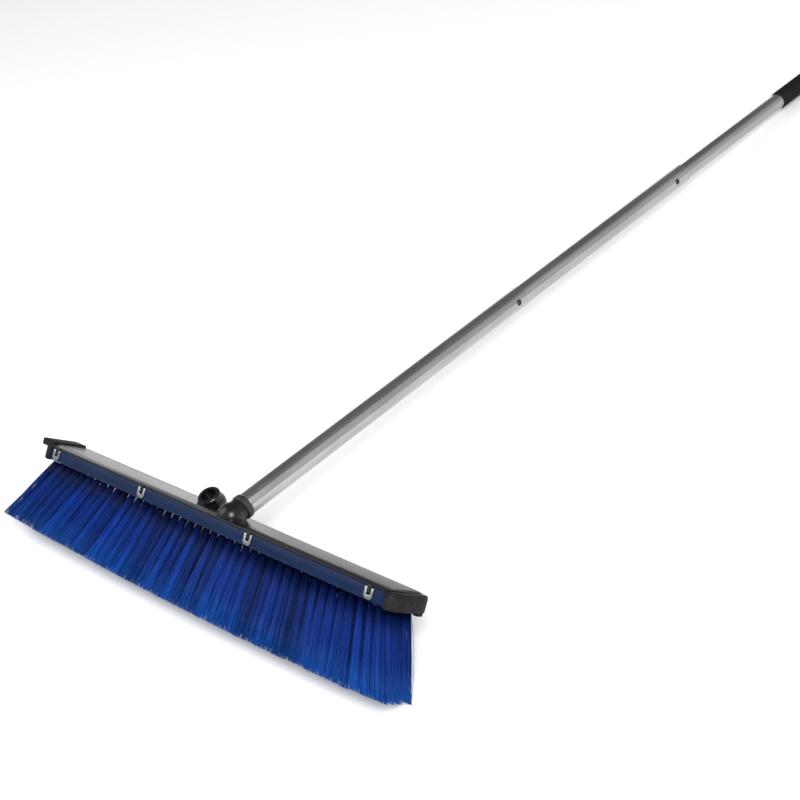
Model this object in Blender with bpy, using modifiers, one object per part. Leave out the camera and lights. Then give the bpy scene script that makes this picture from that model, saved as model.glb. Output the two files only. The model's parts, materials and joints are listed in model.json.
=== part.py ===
"""Push broom with a telescoping steel handle, at rest on the floor.

Metres, +Z up, X along the head, +Y from the head towards the grip.  Three
frames place the pieces: the head frame (x along the head, y to the rear face,
z out of the cover's top), the socket frames and the handle frame (z along the
handle, 0 where its axis crosses the middle plane of the head).
"""

import math

import bmesh
import bpy
from mathutils import Matrix, Vector

NAME = "push_broom"

# Gap that neighbouring pieces keep.
GAP = 0.0003

# Head.
HEAD_LENGTH = 0.610
BUMPER_LENGTH = 0.0135
BUMPER_WIDTH = 0.059
BUMPER_LOW = -0.0015
BUMPER_HEIGHT = 0.0190
BUMPER_FOOT_SIZE = (0.0075, 0.0090, 0.0050)
BUMPER_LIP_SIZE = (0.0230, 0.0500, 0.0085)
BUMPER_LIP_TOP = 0.0215
TONGUE_SIZE = (0.012, 0.034, 0.006)
BLOCK_LENGTH = HEAD_LENGTH - 2 * BUMPER_LENGTH
BLOCK_WIDTH = 0.053
BLOCK_HEIGHT = 0.0155
COVER_WIDTH = 0.0565
COVER_HEIGHT = 0.0042
COVER_LIP = 0.0016
COVER_TOP_WIDTH = 0.0430
COVER_CROWN = 0.0004
HEAD_TOP = BLOCK_HEIGHT + COVER_HEIGHT

# Bristles: the strands fan out along the head.
ROW_COUNT = 4
ROW_PITCH = 0.0130
ROW_THICKNESS = 0.0098
ROW_TILT = math.radians(-12.5)
ROW_FLARE = math.radians(0.6)
BRISTLE_LENGTH = 0.0902
BRISTLE_SLANT = 0.020
BRISTLE_ARCH = 0.056
BRISTLE_FAN = math.radians(28.0)
PRESSED_DEPTH = 0.0855
BRISTLE_ROOT_LENGTH = 0.574
BRISTLE_ROOT_GAP = 0.0005

# Retaining clips on both long faces.
CLIP_PLACES = (-0.280, -0.1100, 0.0795, 0.2690)
CLIP_WIDTH = 0.0130
CLIP_HEIGHT = 0.0125
CLIP_THICKNESS = 0.0020
CLIP_INSET = 0.0010
CLIP_SLOT_WIDTH = 0.0062
CLIP_SLOT_DEPTH = 0.0080
TAB_WIDTH = 0.0050
TAB_LENGTH = 0.0072
TAB_THICKNESS = 0.0011

# Sockets and handle.
SOCKET_PITCH = 0.0600
SOCKET_LEAN = math.radians(50.0)
SOCKET_CROSSING = 0.0313
SOCKET_RADIUS = 0.0155
SOCKET_MOUTH = -0.0020
SOCKET_NECK_RADIUS = 0.0135
SOCKET_DOME_PLACE = -0.0160
SOCKET_FLOOR = -0.0105
SOCKET_BASE = 0.0014
SOCKET_LIMIT = 0.2
SOCKET_BORE_RADIUS = 0.0090
THREAD_RADIUS = 0.0086
THREAD_ROOT_RADIUS = 0.0077
THREAD_PITCH = 0.0036
COLLAR_RADIUS = 0.0144
COLLAR_TOP = 0.0062

LOWER_RADIUS = 0.0130
MIDDLE_RADIUS = 0.01222
UPPER_RADIUS = 0.0105
TUBE_WALL = 0.00045
LOWER_START = 0.0065
LOWER_END = 0.4789
MIDDLE_START = 0.4030
MIDDLE_END = 0.8151
UPPER_START = 0.7430
UPPER_END = 1.1110
FERRULE_PLUG = 0.0240
PLUG_DEPTH = 0.0150
PLUG_FLANGE = 0.0042
PLUG_BORE = 0.0070
GRIP_START = 1.0388
GRIP_END = 1.1480
GRIP_RADIUS = 0.0122
GRIP_ROUNDING = 0.0050
HANG_HOLE_PLACE = 1.1320
HANG_HOLE_RADIUS = 0.0045

# Snap buttons and their springs.
BUTTON_TURN = math.radians(14.0)
BUTTON_PLACES = (0.4612, 0.7875)
BUTTON_RADIUS = 0.0034
BUTTON_HOLE_RADIUS = 0.0038
FLANGE_RADIUS = 0.0042
LEAF_WIDTH = 0.0070
LEAF_THICKNESS = 0.0007
LEAF_REACH = 0.0210
LEAF_TAIL = 0.0060

# Crimped dimples round the lower tube: over the ferrule, and where they centre
# the middle tube.
DIMPLE_PLACES = (0.0220, 0.3835, 0.4455)
DIMPLE_COUNT = 6
DIMPLE_RADIUS = 0.0030
DIMPLE_DEPTH = 0.00022

TUBE_STEPS = 32


def clear_scene():
    for obj in list(bpy.data.objects):
        bpy.data.objects.remove(obj, do_unlink=True)


def make_collections():
    parts = bpy.data.collections.new(NAME)
    cutters = bpy.data.collections.new(NAME + "_cutters")
    bpy.context.scene.collection.children.link(parts)
    bpy.context.scene.collection.children.link(cutters)
    return parts, cutters


def make_material(name, colour, roughness, metallic=0.0):
    material = bpy.data.materials.new(name)
    material.use_nodes = True
    shader = material.node_tree.nodes["Principled BSDF"]
    shader.inputs["Base Color"].default_value = (*colour, 1.0)
    shader.inputs["Roughness"].default_value = roughness
    shader.inputs["Metallic"].default_value = metallic
    material.diffuse_color = (*colour, 1.0)
    return material


def make_materials():
    return {
        "block": make_material("blue_plastic", (0.035, 0.085, 0.20), 0.35),
        "cover": make_material("black_plastic", (0.012, 0.012, 0.014), 0.28),
        "rubber": make_material("black_rubber", (0.030, 0.030, 0.032), 0.60),
        "bristle": make_material("blue_bristle", (0.010, 0.075, 0.42), 0.45),
        "steel": make_material("polished_steel", (0.60, 0.59, 0.59), 0.22, 1.0),
        "spring": make_material("spring_steel", (0.45, 0.45, 0.46), 0.30, 1.0),
        "clip": make_material("bright_clip", (0.72, 0.72, 0.74), 0.30, 0.8),
        "nylon": make_material("nylon", (0.10, 0.10, 0.11), 0.45),
    }


def add_frame(name, parent, location=(0.0, 0.0, 0.0), lean=0.0):
    frame = bpy.data.objects.new(name, None)
    frame.empty_display_size = 0.02
    frame.parent = parent
    frame.location = location
    frame.rotation_euler = (lean, 0.0, 0.0)
    bpy.context.scene.collection.objects.link(frame)
    return frame


def add_object(name, mesh, home, material=None, parent=None, place=(0.0, 0.0, 0.0), turn=0.0):
    obj = bpy.data.objects.new(name, mesh)
    home.objects.link(obj)
    obj.parent = parent
    obj.location = place
    obj.rotation_euler = (0.0, 0.0, turn)
    if material is not None:
        mesh.materials.append(material)
    return obj


def combine(target, helper, operation):
    """Cut, join or intersect the target with a helper, which stays hidden."""
    modifier = target.modifiers.new(operation.lower(), "BOOLEAN")
    modifier.operation = operation
    modifier.object = helper
    helper.hide_render = True
    helper.display_type = "WIRE"


def shade(mesh, angle=35.0):
    mesh.shade_smooth()
    mesh.set_sharp_from_angle(angle=math.radians(angle))


def box_mesh(name, size, centre=(0.0, 0.0, 0.0)):
    shape = bmesh.new()
    bmesh.ops.create_cube(shape, size=1.0)
    bmesh.ops.scale(shape, vec=size, verts=shape.verts)
    bmesh.ops.translate(shape, vec=centre, verts=shape.verts)
    mesh = bpy.data.meshes.new(name)
    shape.to_mesh(mesh)
    shape.free()
    return mesh


def rod_mesh(name, radius, low, high, steps=TUBE_STEPS):
    shape = bmesh.new()
    place = Matrix.Translation((0.0, 0.0, (low + high) / 2))
    bmesh.ops.create_cone(shape, cap_ends=True, segments=steps, radius1=radius,
                          radius2=radius, depth=high - low, matrix=place)
    mesh = bpy.data.meshes.new(name)
    shape.to_mesh(mesh)
    shape.free()
    shade(mesh)
    return mesh


def turned_mesh(name, profile, closed=False, steps=TUBE_STEPS):
    """Spin a profile of (radius, height) points, outer side first, top to bottom."""
    points = [(radius, 0.0, height) for radius, height in profile]
    edges = [(i, i + 1) for i in range(len(points) - 1)]
    if closed:
        edges.append((len(points) - 1, 0))
    line = bpy.data.meshes.new(name + "_profile")
    line.from_pydata(points, edges, [])
    helper = bpy.data.objects.new(name + "_profile", line)
    bpy.context.scene.collection.objects.link(helper)
    screw = helper.modifiers.new("spin", "SCREW")
    screw.axis = "Z"
    screw.steps = steps
    screw.render_steps = steps
    screw.use_merge_vertices = True
    screw.merge_threshold = 0.00001
    graph = bpy.context.evaluated_depsgraph_get()
    mesh = bpy.data.meshes.new_from_object(helper.evaluated_get(graph))
    mesh.name = name
    bpy.data.objects.remove(helper, do_unlink=True)
    shade(mesh)
    return mesh


def extruded_mesh(name, outline, low, high, plane="XY"):
    """Extrude a flat outline of (a, b) points from low to high across its plane."""
    shape = bmesh.new()
    to_point = {
        "XY": lambda a, b: (a, b, low),
        "XZ": lambda a, b: (a, low, b),
        "YZ": lambda a, b: (low, a, b),
    }[plane]
    step = {"XY": (0, 0, high - low), "XZ": (0, high - low, 0), "YZ": (high - low, 0, 0)}[plane]
    face = shape.faces.new([shape.verts.new(to_point(a, b)) for a, b in outline])
    swept = bmesh.ops.extrude_face_region(shape, geom=[face])
    moved = [item for item in swept["geom"] if isinstance(item, bmesh.types.BMVert)]
    bmesh.ops.translate(shape, vec=step, verts=moved)
    bmesh.ops.recalc_face_normals(shape, faces=shape.faces)
    mesh = bpy.data.meshes.new(name)
    shape.to_mesh(mesh)
    shape.free()
    return mesh


def bevel(obj, width, segments=2, angle=40.0):
    modifier = obj.modifiers.new("bevel", "BEVEL")
    modifier.width = width
    modifier.segments = segments
    modifier.limit_method = "ANGLE"
    modifier.angle_limit = math.radians(angle)
    return modifier


def tube_profile(outer, low, high, wall=TUBE_WALL):
    inner = outer - wall
    return [(outer, high), (outer, low), (inner, low), (inner, high)]


# Head ---------------------------------------------------------------------

def clip_outline():
    """U shape that opens upwards, as seen on the block's long face."""
    half = CLIP_WIDTH / 2
    slot = CLIP_SLOT_WIDTH / 2
    low = (BLOCK_HEIGHT - CLIP_HEIGHT) / 2
    high = low + CLIP_HEIGHT
    floor = high - CLIP_SLOT_DEPTH
    right = [(half * 0.55, low), (half, low + half * 0.45), (half, high), (slot, high)]
    right += [(slot, floor + slot * 0.6), (slot * 0.4, floor)]
    left = [(-x, z) for x, z in reversed(right)]
    return right + left


def make_clips(parts, frame, material):
    """Retaining clips, numbered from the left, on the front and the rear face."""
    inner = BLOCK_WIDTH / 2 - CLIP_INSET + GAP
    outer = inner + CLIP_THICKNESS
    for side, face in ((-1, "front"), (1, "rear")):
        low, high = sorted((side * inner, side * outer))
        for index, x in enumerate(CLIP_PLACES, start=1):
            name = f"{face}_clip_{index}"
            mesh = extruded_mesh(name, clip_outline(), low, high, "XZ")
            clip = add_object(name, mesh, parts, material, frame, (x, 0.0, 0.0))
            bevel(clip, 0.0003, 1)


def make_block(parts, cutters, frame, material):
    size = (BLOCK_LENGTH, BLOCK_WIDTH, BLOCK_HEIGHT)
    mesh = box_mesh("brush_block", size, (0.0, 0.0, BLOCK_HEIGHT / 2))
    block = add_object("brush_block", mesh, parts, material, frame)
    bevel(block, 0.0012, 2)
    pocket_size = (CLIP_WIDTH + 2 * GAP, 2 * CLIP_INSET, CLIP_HEIGHT + 2 * GAP)
    for side in (-1, 1):
        for x in CLIP_PLACES:
            centre = (x, side * BLOCK_WIDTH / 2, BLOCK_HEIGHT / 2)
            mesh = box_mesh("clip_pocket", pocket_size, centre)
            combine(block, add_object("clip_pocket", mesh, cutters, None, frame), "DIFFERENCE")
        length, width, height = TONGUE_SIZE
        slot_size = (2 * (length + GAP), width + 2 * GAP, height + 2 * GAP)
        centre = (side * BLOCK_LENGTH / 2, 0.0, BLOCK_HEIGHT / 2)
        mesh = box_mesh("tongue_slot", slot_size, centre)
        combine(block, add_object("tongue_slot", mesh, cutters, None, frame), "DIFFERENCE")


def cover_outline():
    """Cross-section of the cover: a low lip, a sloping shoulder and a crowned top."""
    low = BLOCK_HEIGHT + GAP
    half = COVER_WIDTH / 2
    top_half = COVER_TOP_WIDTH / 2
    count = 8
    outline = [(-half, low), (-half, low + COVER_LIP)]
    for step in range(count + 1):
        across = -1.0 + 2.0 * step / count
        outline.append((across * top_half, HEAD_TOP - COVER_CROWN * across * across))
    outline += [(half, low + COVER_LIP), (half, low)]
    return outline


def make_cover(parts, cutters, frame, sockets, material):
    """One moulding: the cover, the tabs that hold the clips, and the two sockets."""
    half = BLOCK_LENGTH / 2
    mesh = extruded_mesh("top_cover", cover_outline(), -half, half, "YZ")
    cover = add_object("top_cover", mesh, parts, material, frame)
    bevel(cover, 0.0008, 2, 25.0)
    for side in (-1, 1):
        for x in CLIP_PLACES:
            rooted = 0.0012
            size = (TAB_WIDTH, TAB_THICKNESS, TAB_LENGTH + rooted)
            centre = (x, side * (BLOCK_WIDTH / 2 + GAP + TAB_THICKNESS / 2),
                      BLOCK_HEIGHT + GAP + rooted - size[2] / 2)
            mesh = box_mesh("cover_tab", size, centre)
            combine(cover, add_object("cover_tab", mesh, cutters, None, frame), "UNION")
    limit_size = (SOCKET_LIMIT, SOCKET_LIMIT, SOCKET_LIMIT)
    limit_low = BLOCK_HEIGHT + SOCKET_BASE
    limit_mesh = box_mesh("socket_limit", limit_size, (0.0, 0.0, limit_low + SOCKET_LIMIT / 2))
    limit = add_object("socket_limit", limit_mesh, cutters, None, frame)
    for socket in sockets:
        mesh = turned_mesh("socket_body", socket_profile())
        body = add_object("socket_body", mesh, cutters, None, socket)
        combine(body, limit, "INTERSECT")
        combine(cover, body, "UNION")
    for socket in sockets:
        mesh = rod_mesh("socket_bore", SOCKET_BORE_RADIUS, SOCKET_FLOOR, 0.01)
        combine(cover, add_object("socket_bore", mesh, cutters, None, socket), "DIFFERENCE")


def socket_profile():
    """Outer shape of a socket: a dome with a short neck at its mouth."""
    rounding = 0.0010
    neck = SOCKET_NECK_RADIUS
    profile = [(0.0, SOCKET_MOUTH), (neck - rounding, SOCKET_MOUTH)]
    profile.append((neck, SOCKET_MOUTH - rounding))
    start = math.acos(neck / SOCKET_RADIUS)
    count = 12
    for step in range(count):
        turn = start - (start + math.pi / 2) * step / count
        profile.append((SOCKET_RADIUS * math.cos(turn),
                        SOCKET_DOME_PLACE + SOCKET_RADIUS * math.sin(turn)))
    profile.append((0.0, SOCKET_DOME_PLACE - SOCKET_RADIUS))
    return profile


def bumper_outline():
    """Plan of an end bumper: flat against the head, rounded outside."""
    half = BUMPER_WIDTH / 2
    depth = BUMPER_LENGTH - GAP
    points = []
    count = 14
    for step in range(count + 1):
        turn = math.pi * step / count - math.pi / 2
        across = math.copysign(abs(math.sin(turn)) ** 0.55, math.sin(turn))
        out = abs(math.cos(turn)) ** 0.55
        points.append((out * depth, across * half))
    return points


def bumper_foot():
    """Small foot under the rear corner of the right bumper."""
    length, width, height = BUMPER_FOOT_SIZE
    centre = (BUMPER_LENGTH - 0.0030 - length / 2, BUMPER_WIDTH / 2 - 0.0050 - width / 2,
              BUMPER_LOW - height / 2 + 0.0020)
    return box_mesh("bumper_foot", BUMPER_FOOT_SIZE, centre)


def bumper_lip():
    """Lip that stands out from the top of the left bumper."""
    length, _, height = BUMPER_LIP_SIZE
    centre = (GAP + 0.0010 + length / 2, 0.0, BUMPER_LIP_TOP - height / 2)
    return box_mesh("bumper_lip", BUMPER_LIP_SIZE, centre)


def make_bumpers(parts, cutters, frame, material):
    for name, turn in (("end_bumper_right", 0.0), ("end_bumper_left", math.pi)):
        side = 1 if turn == 0.0 else -1
        place = (side * (BLOCK_LENGTH / 2 + GAP), 0.0, 0.0)
        mesh = extruded_mesh(name, bumper_outline(), BUMPER_LOW, BUMPER_LOW + BUMPER_HEIGHT)
        bumper = add_object(name, mesh, parts, material, frame, place, turn)
        bevel(bumper, 0.0030, 3)
        extra = bumper_foot() if side == 1 else bumper_lip()
        helper = add_object("bumper_extra", extra, cutters, None, frame, place, turn)
        bevel(helper, 0.0016, 3)
        combine(bumper, helper, "UNION")
        length, width, height = TONGUE_SIZE
        rooted = 0.003
        size = (length + rooted, width, height)
        centre = ((rooted - length) / 2, 0.0, BLOCK_HEIGHT / 2)
        tongue = add_object("bumper_tongue", box_mesh("bumper_tongue", size, centre), cutters,
                            None, frame, place, turn)
        combine(bumper, tongue, "UNION")


def row_outline(pressed_flat):
    """One row of bristles: the strands fan out, with their tips on an arc."""
    root_half = BRISTLE_ROOT_LENGTH / 2
    count = 24
    tips = []
    for step in range(count + 1):
        along = -1.0 + 2.0 * step / count
        fan = BRISTLE_FAN * along
        length = BRISTLE_LENGTH * (1.0 + BRISTLE_SLANT * along + BRISTLE_ARCH * along * along)
        if pressed_flat:
            length = PRESSED_DEPTH / math.cos(fan)
        tips.append((along * root_half + length * math.sin(fan), -length * math.cos(fan)))
    return tips + [(root_half, 0.0), (-root_half, 0.0)]


def row_turn(index):
    """All rows lean towards the front, and spread a little."""
    return ROW_TILT + (index - (ROW_COUNT - 1) / 2) * ROW_FLARE


def row_place(index):
    return (index - (ROW_COUNT - 1) / 2) * ROW_PITCH


def row_root(index):
    """Height of a row's root; a slanting row's corner stays clear of the block."""
    return -BRISTLE_ROOT_GAP - ROW_THICKNESS / 2 * math.sin(abs(row_turn(index)))


def make_bristles(parts, frame, material):
    """Rows from the front to the rear; the head lies on the rear one."""
    half = ROW_THICKNESS / 2
    for index in range(ROW_COUNT):
        name = f"bristle_row_{index + 1}"
        outline = row_outline(index == ROW_COUNT - 1)
        mesh = extruded_mesh(name, outline, -half, half, "XZ")
        row = add_object(name, mesh, parts, material, frame,
                         (0.0, row_place(index), row_root(index)))
        row.rotation_euler = (row_turn(index), 0.0, 0.0)


# Handle -------------------------------------------------------------------

def ferrule_profile():
    """Threaded end, grip collar, and the plug inside the lower tube."""
    bore_end = LOWER_RADIUS - TUBE_WALL - GAP
    profile = [(0.0, COLLAR_TOP + FERRULE_PLUG), (bore_end - 0.001, COLLAR_TOP + FERRULE_PLUG)]
    profile += [(bore_end, COLLAR_TOP + FERRULE_PLUG - 0.001), (bore_end, COLLAR_TOP)]
    profile += [(COLLAR_RADIUS - 0.0010, COLLAR_TOP), (COLLAR_RADIUS, COLLAR_TOP - 0.0010)]
    collar_low = SOCKET_MOUTH + GAP
    profile += [(COLLAR_RADIUS, collar_low + 0.0010), (COLLAR_RADIUS - 0.0010, collar_low)]
    profile += [(THREAD_ROOT_RADIUS, collar_low)]
    height = collar_low - 0.0012
    while height - THREAD_PITCH > SOCKET_FLOOR + 0.0008:
        profile += [(THREAD_ROOT_RADIUS, height), (THREAD_RADIUS, height - 0.25 * THREAD_PITCH)]
        profile += [(THREAD_RADIUS, height - 0.50 * THREAD_PITCH)]
        profile += [(THREAD_ROOT_RADIUS, height - 0.75 * THREAD_PITCH)]
        height -= THREAD_PITCH
    profile += [(THREAD_ROOT_RADIUS, SOCKET_FLOOR + 0.0008), (0.0, SOCKET_FLOOR + 0.0008)]
    return profile


def hole_cutter(name, cutters, frame, place, radius, low, high, turn=-BUTTON_TURN):
    """A rod across the handle, along the direction in which a button faces."""
    obj = add_object(name, rod_mesh(name, radius, low, high, 24), cutters, None, frame,
                     (0.0, 0.0, place))
    obj.rotation_euler = (0.0, math.pi / 2, turn)
    return obj


def make_dimples(cutters, frame):
    """Small balls that dent the outer wall of the lower tube."""
    shape = bmesh.new()
    distance = LOWER_RADIUS - DIMPLE_DEPTH + DIMPLE_RADIUS
    for place in DIMPLE_PLACES:
        for index in range(DIMPLE_COUNT):
            turn = 2 * math.pi * index / DIMPLE_COUNT
            centre = (distance * math.cos(turn), distance * math.sin(turn), place)
            bmesh.ops.create_icosphere(shape, subdivisions=2, radius=DIMPLE_RADIUS,
                                       matrix=Matrix.Translation(centre))
    mesh = bpy.data.meshes.new("dimples")
    shape.to_mesh(mesh)
    shape.free()
    return add_object("dimples", mesh, cutters, None, frame)


def make_tubes(parts, cutters, frame, material):
    spans = (
        ("lower_tube", LOWER_RADIUS, LOWER_START, LOWER_END),
        ("middle_tube", MIDDLE_RADIUS, MIDDLE_START, MIDDLE_END),
        ("upper_tube", UPPER_RADIUS, UPPER_START, UPPER_END),
    )
    tubes = []
    for name, radius, low, high in spans:
        mesh = turned_mesh(name, tube_profile(radius, low, high), closed=True)
        tubes.append(add_object(name, mesh, parts, material, frame))
    combine(tubes[0], make_dimples(cutters, frame), "DIFFERENCE")
    for index, place in enumerate(BUTTON_PLACES):
        for tube in tubes[index:index + 2]:
            cutter = hole_cutter("button_hole", cutters, frame, place, BUTTON_HOLE_RADIUS,
                                 0.004, 0.020)
            combine(tube, cutter, "DIFFERENCE")


def make_ferrule(parts, frame, material):
    mesh = turned_mesh("threaded_ferrule", ferrule_profile())
    add_object("threaded_ferrule", mesh, parts, material, frame)


def make_plug(name, parts, frame, outer_bore, inner_bore, start, material):
    """End plug of a sliding tube: its flange rides in the tube around it."""
    flange = outer_bore - GAP
    stem = inner_bore - GAP
    top = start + PLUG_DEPTH
    shoulder = start - GAP
    low = shoulder - PLUG_FLANGE
    profile = [(stem, top), (stem, shoulder), (flange, shoulder), (flange, low + 0.0006)]
    profile += [(flange - 0.0006, low), (PLUG_BORE, low), (PLUG_BORE, top)]
    mesh = turned_mesh(name, profile, closed=True)
    add_object(name, mesh, parts, material, frame)


def grip_profile():
    bore = UPPER_RADIUS + GAP
    closed = UPPER_END + GAP
    profile = [(0.0, GRIP_END)]
    count = 5
    for step in range(count + 1):
        turn = math.radians(90.0 - 90.0 * step / count)
        profile.append((GRIP_RADIUS - GRIP_ROUNDING + GRIP_ROUNDING * math.cos(turn),
                        GRIP_END - GRIP_ROUNDING + GRIP_ROUNDING * math.sin(turn)))
    profile += [(GRIP_RADIUS, GRIP_START + 0.0010), (GRIP_RADIUS - 0.0008, GRIP_START)]
    profile += [(bore, GRIP_START), (bore, closed), (0.0, closed)]
    return profile


def make_grip(parts, cutters, frame, material):
    mesh = turned_mesh("hand_grip", grip_profile())
    grip = add_object("hand_grip", mesh, parts, material, frame)
    reach = GRIP_RADIUS + 0.004
    hole = hole_cutter("hang_hole", cutters, frame, HANG_HOLE_PLACE, HANG_HOLE_RADIUS,
                       -reach, reach, 0.0)
    combine(grip, hole, "DIFFERENCE")


def button_heights(tube_radius, around_bore):
    """Heights above the handle's axis: crown, flange top, leaf top, spring leg."""
    bore = tube_radius - TUBE_WALL
    return around_bore - GAP, bore - 0.0012, bore - 0.0020, -(bore - 0.0012)


def make_button(name, parts, cutters, frame, tube_radius, around_bore, material):
    """Snap button with its flange and the leaf that carries it.

    The frame's z points out through the hole, its x towards the head.
    """
    crown, flange_top, leaf_top, _ = button_heights(tube_radius, around_bore)
    shoulder = crown - 0.0008
    profile = [(0.0, crown), (BUTTON_RADIUS * 0.55, crown - 0.00015)]
    profile += [(BUTTON_RADIUS * 0.9, crown - 0.0005), (BUTTON_RADIUS, shoulder)]
    profile += [(BUTTON_RADIUS, flange_top), (FLANGE_RADIUS, flange_top)]
    profile += [(FLANGE_RADIUS, leaf_top - 0.0002), (0.0, leaf_top - 0.0002)]
    button = add_object(name, turned_mesh(name, profile, steps=24), parts, material, frame)
    length = LEAF_REACH - GAP + LEAF_TAIL
    centre = ((LEAF_REACH - GAP - LEAF_TAIL) / 2, 0.0, leaf_top - LEAF_THICKNESS / 2)
    mesh = box_mesh("button_leaf", (length, LEAF_WIDTH, LEAF_THICKNESS), centre)
    combine(button, add_object("button_leaf", mesh, cutters, None, frame), "UNION")


def spring_outline(leaf_top, leg_low):
    """Side view of the spring: a straight leg and the bend up to the leaf."""
    outer = (leaf_top - leg_low) / 2
    inner = outer - LEAF_THICKNESS
    middle = leg_low + outer
    count = 12
    turns = [-math.pi / 2 + math.pi * step / count for step in range(count + 1)]
    outside = [(LEAF_REACH + outer * math.cos(turn), middle + outer * math.sin(turn))
               for turn in turns]
    inside = [(LEAF_REACH + inner * math.cos(turn), middle + inner * math.sin(turn))
              for turn in reversed(turns)]
    tail = [(-LEAF_TAIL, leg_low + LEAF_THICKNESS), (-LEAF_TAIL, leg_low)]
    return outside + inside + tail


def make_spring(name, parts, frame, tube_radius, around_bore, material):
    _, _, leaf_top, leg_low = button_heights(tube_radius, around_bore)
    half = LEAF_WIDTH / 2
    mesh = extruded_mesh(name, spring_outline(leaf_top, leg_low), -half, half, "XZ")
    add_object(name, mesh, parts, material, frame)


def make_locks(parts, cutters, handle, materials):
    tubes = ((MIDDLE_RADIUS, LOWER_RADIUS), (UPPER_RADIUS, MIDDLE_RADIUS))
    for number, (place, (inner, outer)) in enumerate(zip(BUTTON_PLACES, tubes), start=1):
        frame = add_frame(f"button_frame_{number}", handle, (0.0, 0.0, place))
        frame.rotation_euler = (0.0, math.pi / 2, -BUTTON_TURN)
        bore = outer - TUBE_WALL
        make_button(f"snap_button_{number}", parts, cutters, frame, inner, bore,
                    materials["steel"])
        make_spring(f"button_spring_{number}", parts, frame, inner, bore, materials["spring"])


def make_handle(parts, cutters, handle, materials):
    make_ferrule(parts, handle, materials["nylon"])
    make_tubes(parts, cutters, handle, materials["steel"])
    make_plug("middle_tube_plug", parts, handle, LOWER_RADIUS - TUBE_WALL,
              MIDDLE_RADIUS - TUBE_WALL, MIDDLE_START, materials["nylon"])
    make_plug("upper_tube_plug", parts, handle, MIDDLE_RADIUS - TUBE_WALL,
              UPPER_RADIUS - TUBE_WALL, UPPER_START, materials["nylon"])
    make_grip(parts, cutters, handle, materials["rubber"])
    make_locks(parts, cutters, handle, materials)


# Rest ---------------------------------------------------------------------

def resting_slope():
    """Fall of the handle from the rear row's tips, on the floor, to the grip's end."""
    depth = PRESSED_DEPTH
    rear = ROW_COUNT - 1
    turn = row_turn(rear)
    half = ROW_THICKNESS / 2
    tip_y = row_place(rear) + depth * math.sin(turn) + half * math.cos(turn)
    tip_z = row_root(rear) - depth * math.cos(turn) + half * math.sin(turn)
    rise = tip_z - SOCKET_CROSSING
    along = tip_y * math.sin(SOCKET_LEAN) + rise * math.cos(SOCKET_LEAN)
    above = -tip_y * math.cos(SOCKET_LEAN) + rise * math.sin(SOCKET_LEAN)
    reach = GRIP_END - GRIP_ROUNDING - along
    return math.atan2(-above - GRIP_RADIUS, reach)


def centre_on_floor(parts, root):
    """Move the root so that the whole object stands on z = 0, centred on x = y = 0."""
    graph = bpy.context.evaluated_depsgraph_get()
    corners = []
    for obj in parts.objects:
        seen = obj.evaluated_get(graph)
        corners += [seen.matrix_world @ vertex.co for vertex in seen.data.vertices]
    low = Vector([min(corner[axis] for corner in corners) for axis in range(3)])
    high = Vector([max(corner[axis] for corner in corners) for axis in range(3)])
    root.location = (-(low.x + high.x) / 2, -(low.y + high.y) / 2, -low.z)


def main():
    clear_scene()
    parts, cutters = make_collections()
    materials = make_materials()
    root = add_frame("rest_frame", None)
    slope = resting_slope()
    head = add_frame("head_frame", root, lean=SOCKET_LEAN - slope - math.pi / 2)
    handle = add_frame("handle_frame", head, (SOCKET_PITCH / 2, 0.0, SOCKET_CROSSING),
                       -SOCKET_LEAN)
    spare = add_frame("spare_socket_frame", head, (-SOCKET_PITCH / 2, 0.0, SOCKET_CROSSING),
                      SOCKET_LEAN)
    make_block(parts, cutters, head, materials["block"])
    make_cover(parts, cutters, head, (handle, spare), materials["cover"])
    make_clips(parts, head, materials["clip"])
    make_bumpers(parts, cutters, head, materials["rubber"])
    make_bristles(parts, head, materials["bristle"])
    make_handle(parts, cutters, handle, materials)
    bpy.context.view_layer.update()
    centre_on_floor(parts, root)
    bpy.context.view_layer.update()


main()
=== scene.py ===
"""Finish of a push broom that lies on a pale floor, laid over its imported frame."""

import json
import math
import random

import bmesh
import bpy
from bpy.props import (FloatProperty, FloatVectorProperty, IntProperty,
                       PointerProperty)
from mathutils import Matrix, Vector


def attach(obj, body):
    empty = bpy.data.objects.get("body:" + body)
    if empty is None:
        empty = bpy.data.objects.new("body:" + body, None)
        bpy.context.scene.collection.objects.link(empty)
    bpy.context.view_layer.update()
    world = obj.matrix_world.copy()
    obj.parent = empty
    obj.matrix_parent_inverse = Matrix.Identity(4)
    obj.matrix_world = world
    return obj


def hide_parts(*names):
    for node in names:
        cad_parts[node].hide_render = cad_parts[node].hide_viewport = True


bl_info = {
    "name": "Push Broom Finish",
    "version": (1, 0, 0),
    "blender": (4, 5, 0),
    "location": "3D View > Sidebar > Broom",
    "description": "Bristles, plastics and polished tubes of a push broom",
    "category": "Object",
}

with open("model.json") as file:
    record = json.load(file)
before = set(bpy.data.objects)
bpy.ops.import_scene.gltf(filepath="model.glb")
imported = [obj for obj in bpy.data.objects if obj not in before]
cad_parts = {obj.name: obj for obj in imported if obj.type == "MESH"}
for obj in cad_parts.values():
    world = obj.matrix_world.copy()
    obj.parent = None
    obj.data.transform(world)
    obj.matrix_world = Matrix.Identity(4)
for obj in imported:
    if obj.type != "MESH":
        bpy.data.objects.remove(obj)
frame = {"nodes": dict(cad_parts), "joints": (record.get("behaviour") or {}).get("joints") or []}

# Head, measured in its own frame: x along it, y to its rear face, z out of its top.
BLOCK_LENGTH = 0.583
BLOCK_HEIGHT = 0.0155
COVER_LIP = 0.0016
COVER_WIDTH = 0.0565
COVER_TOP_WIDTH = 0.0430
HEAD_TOP = 0.0197
COVER_CROWN = 0.0004
GAP = 0.0003

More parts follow.
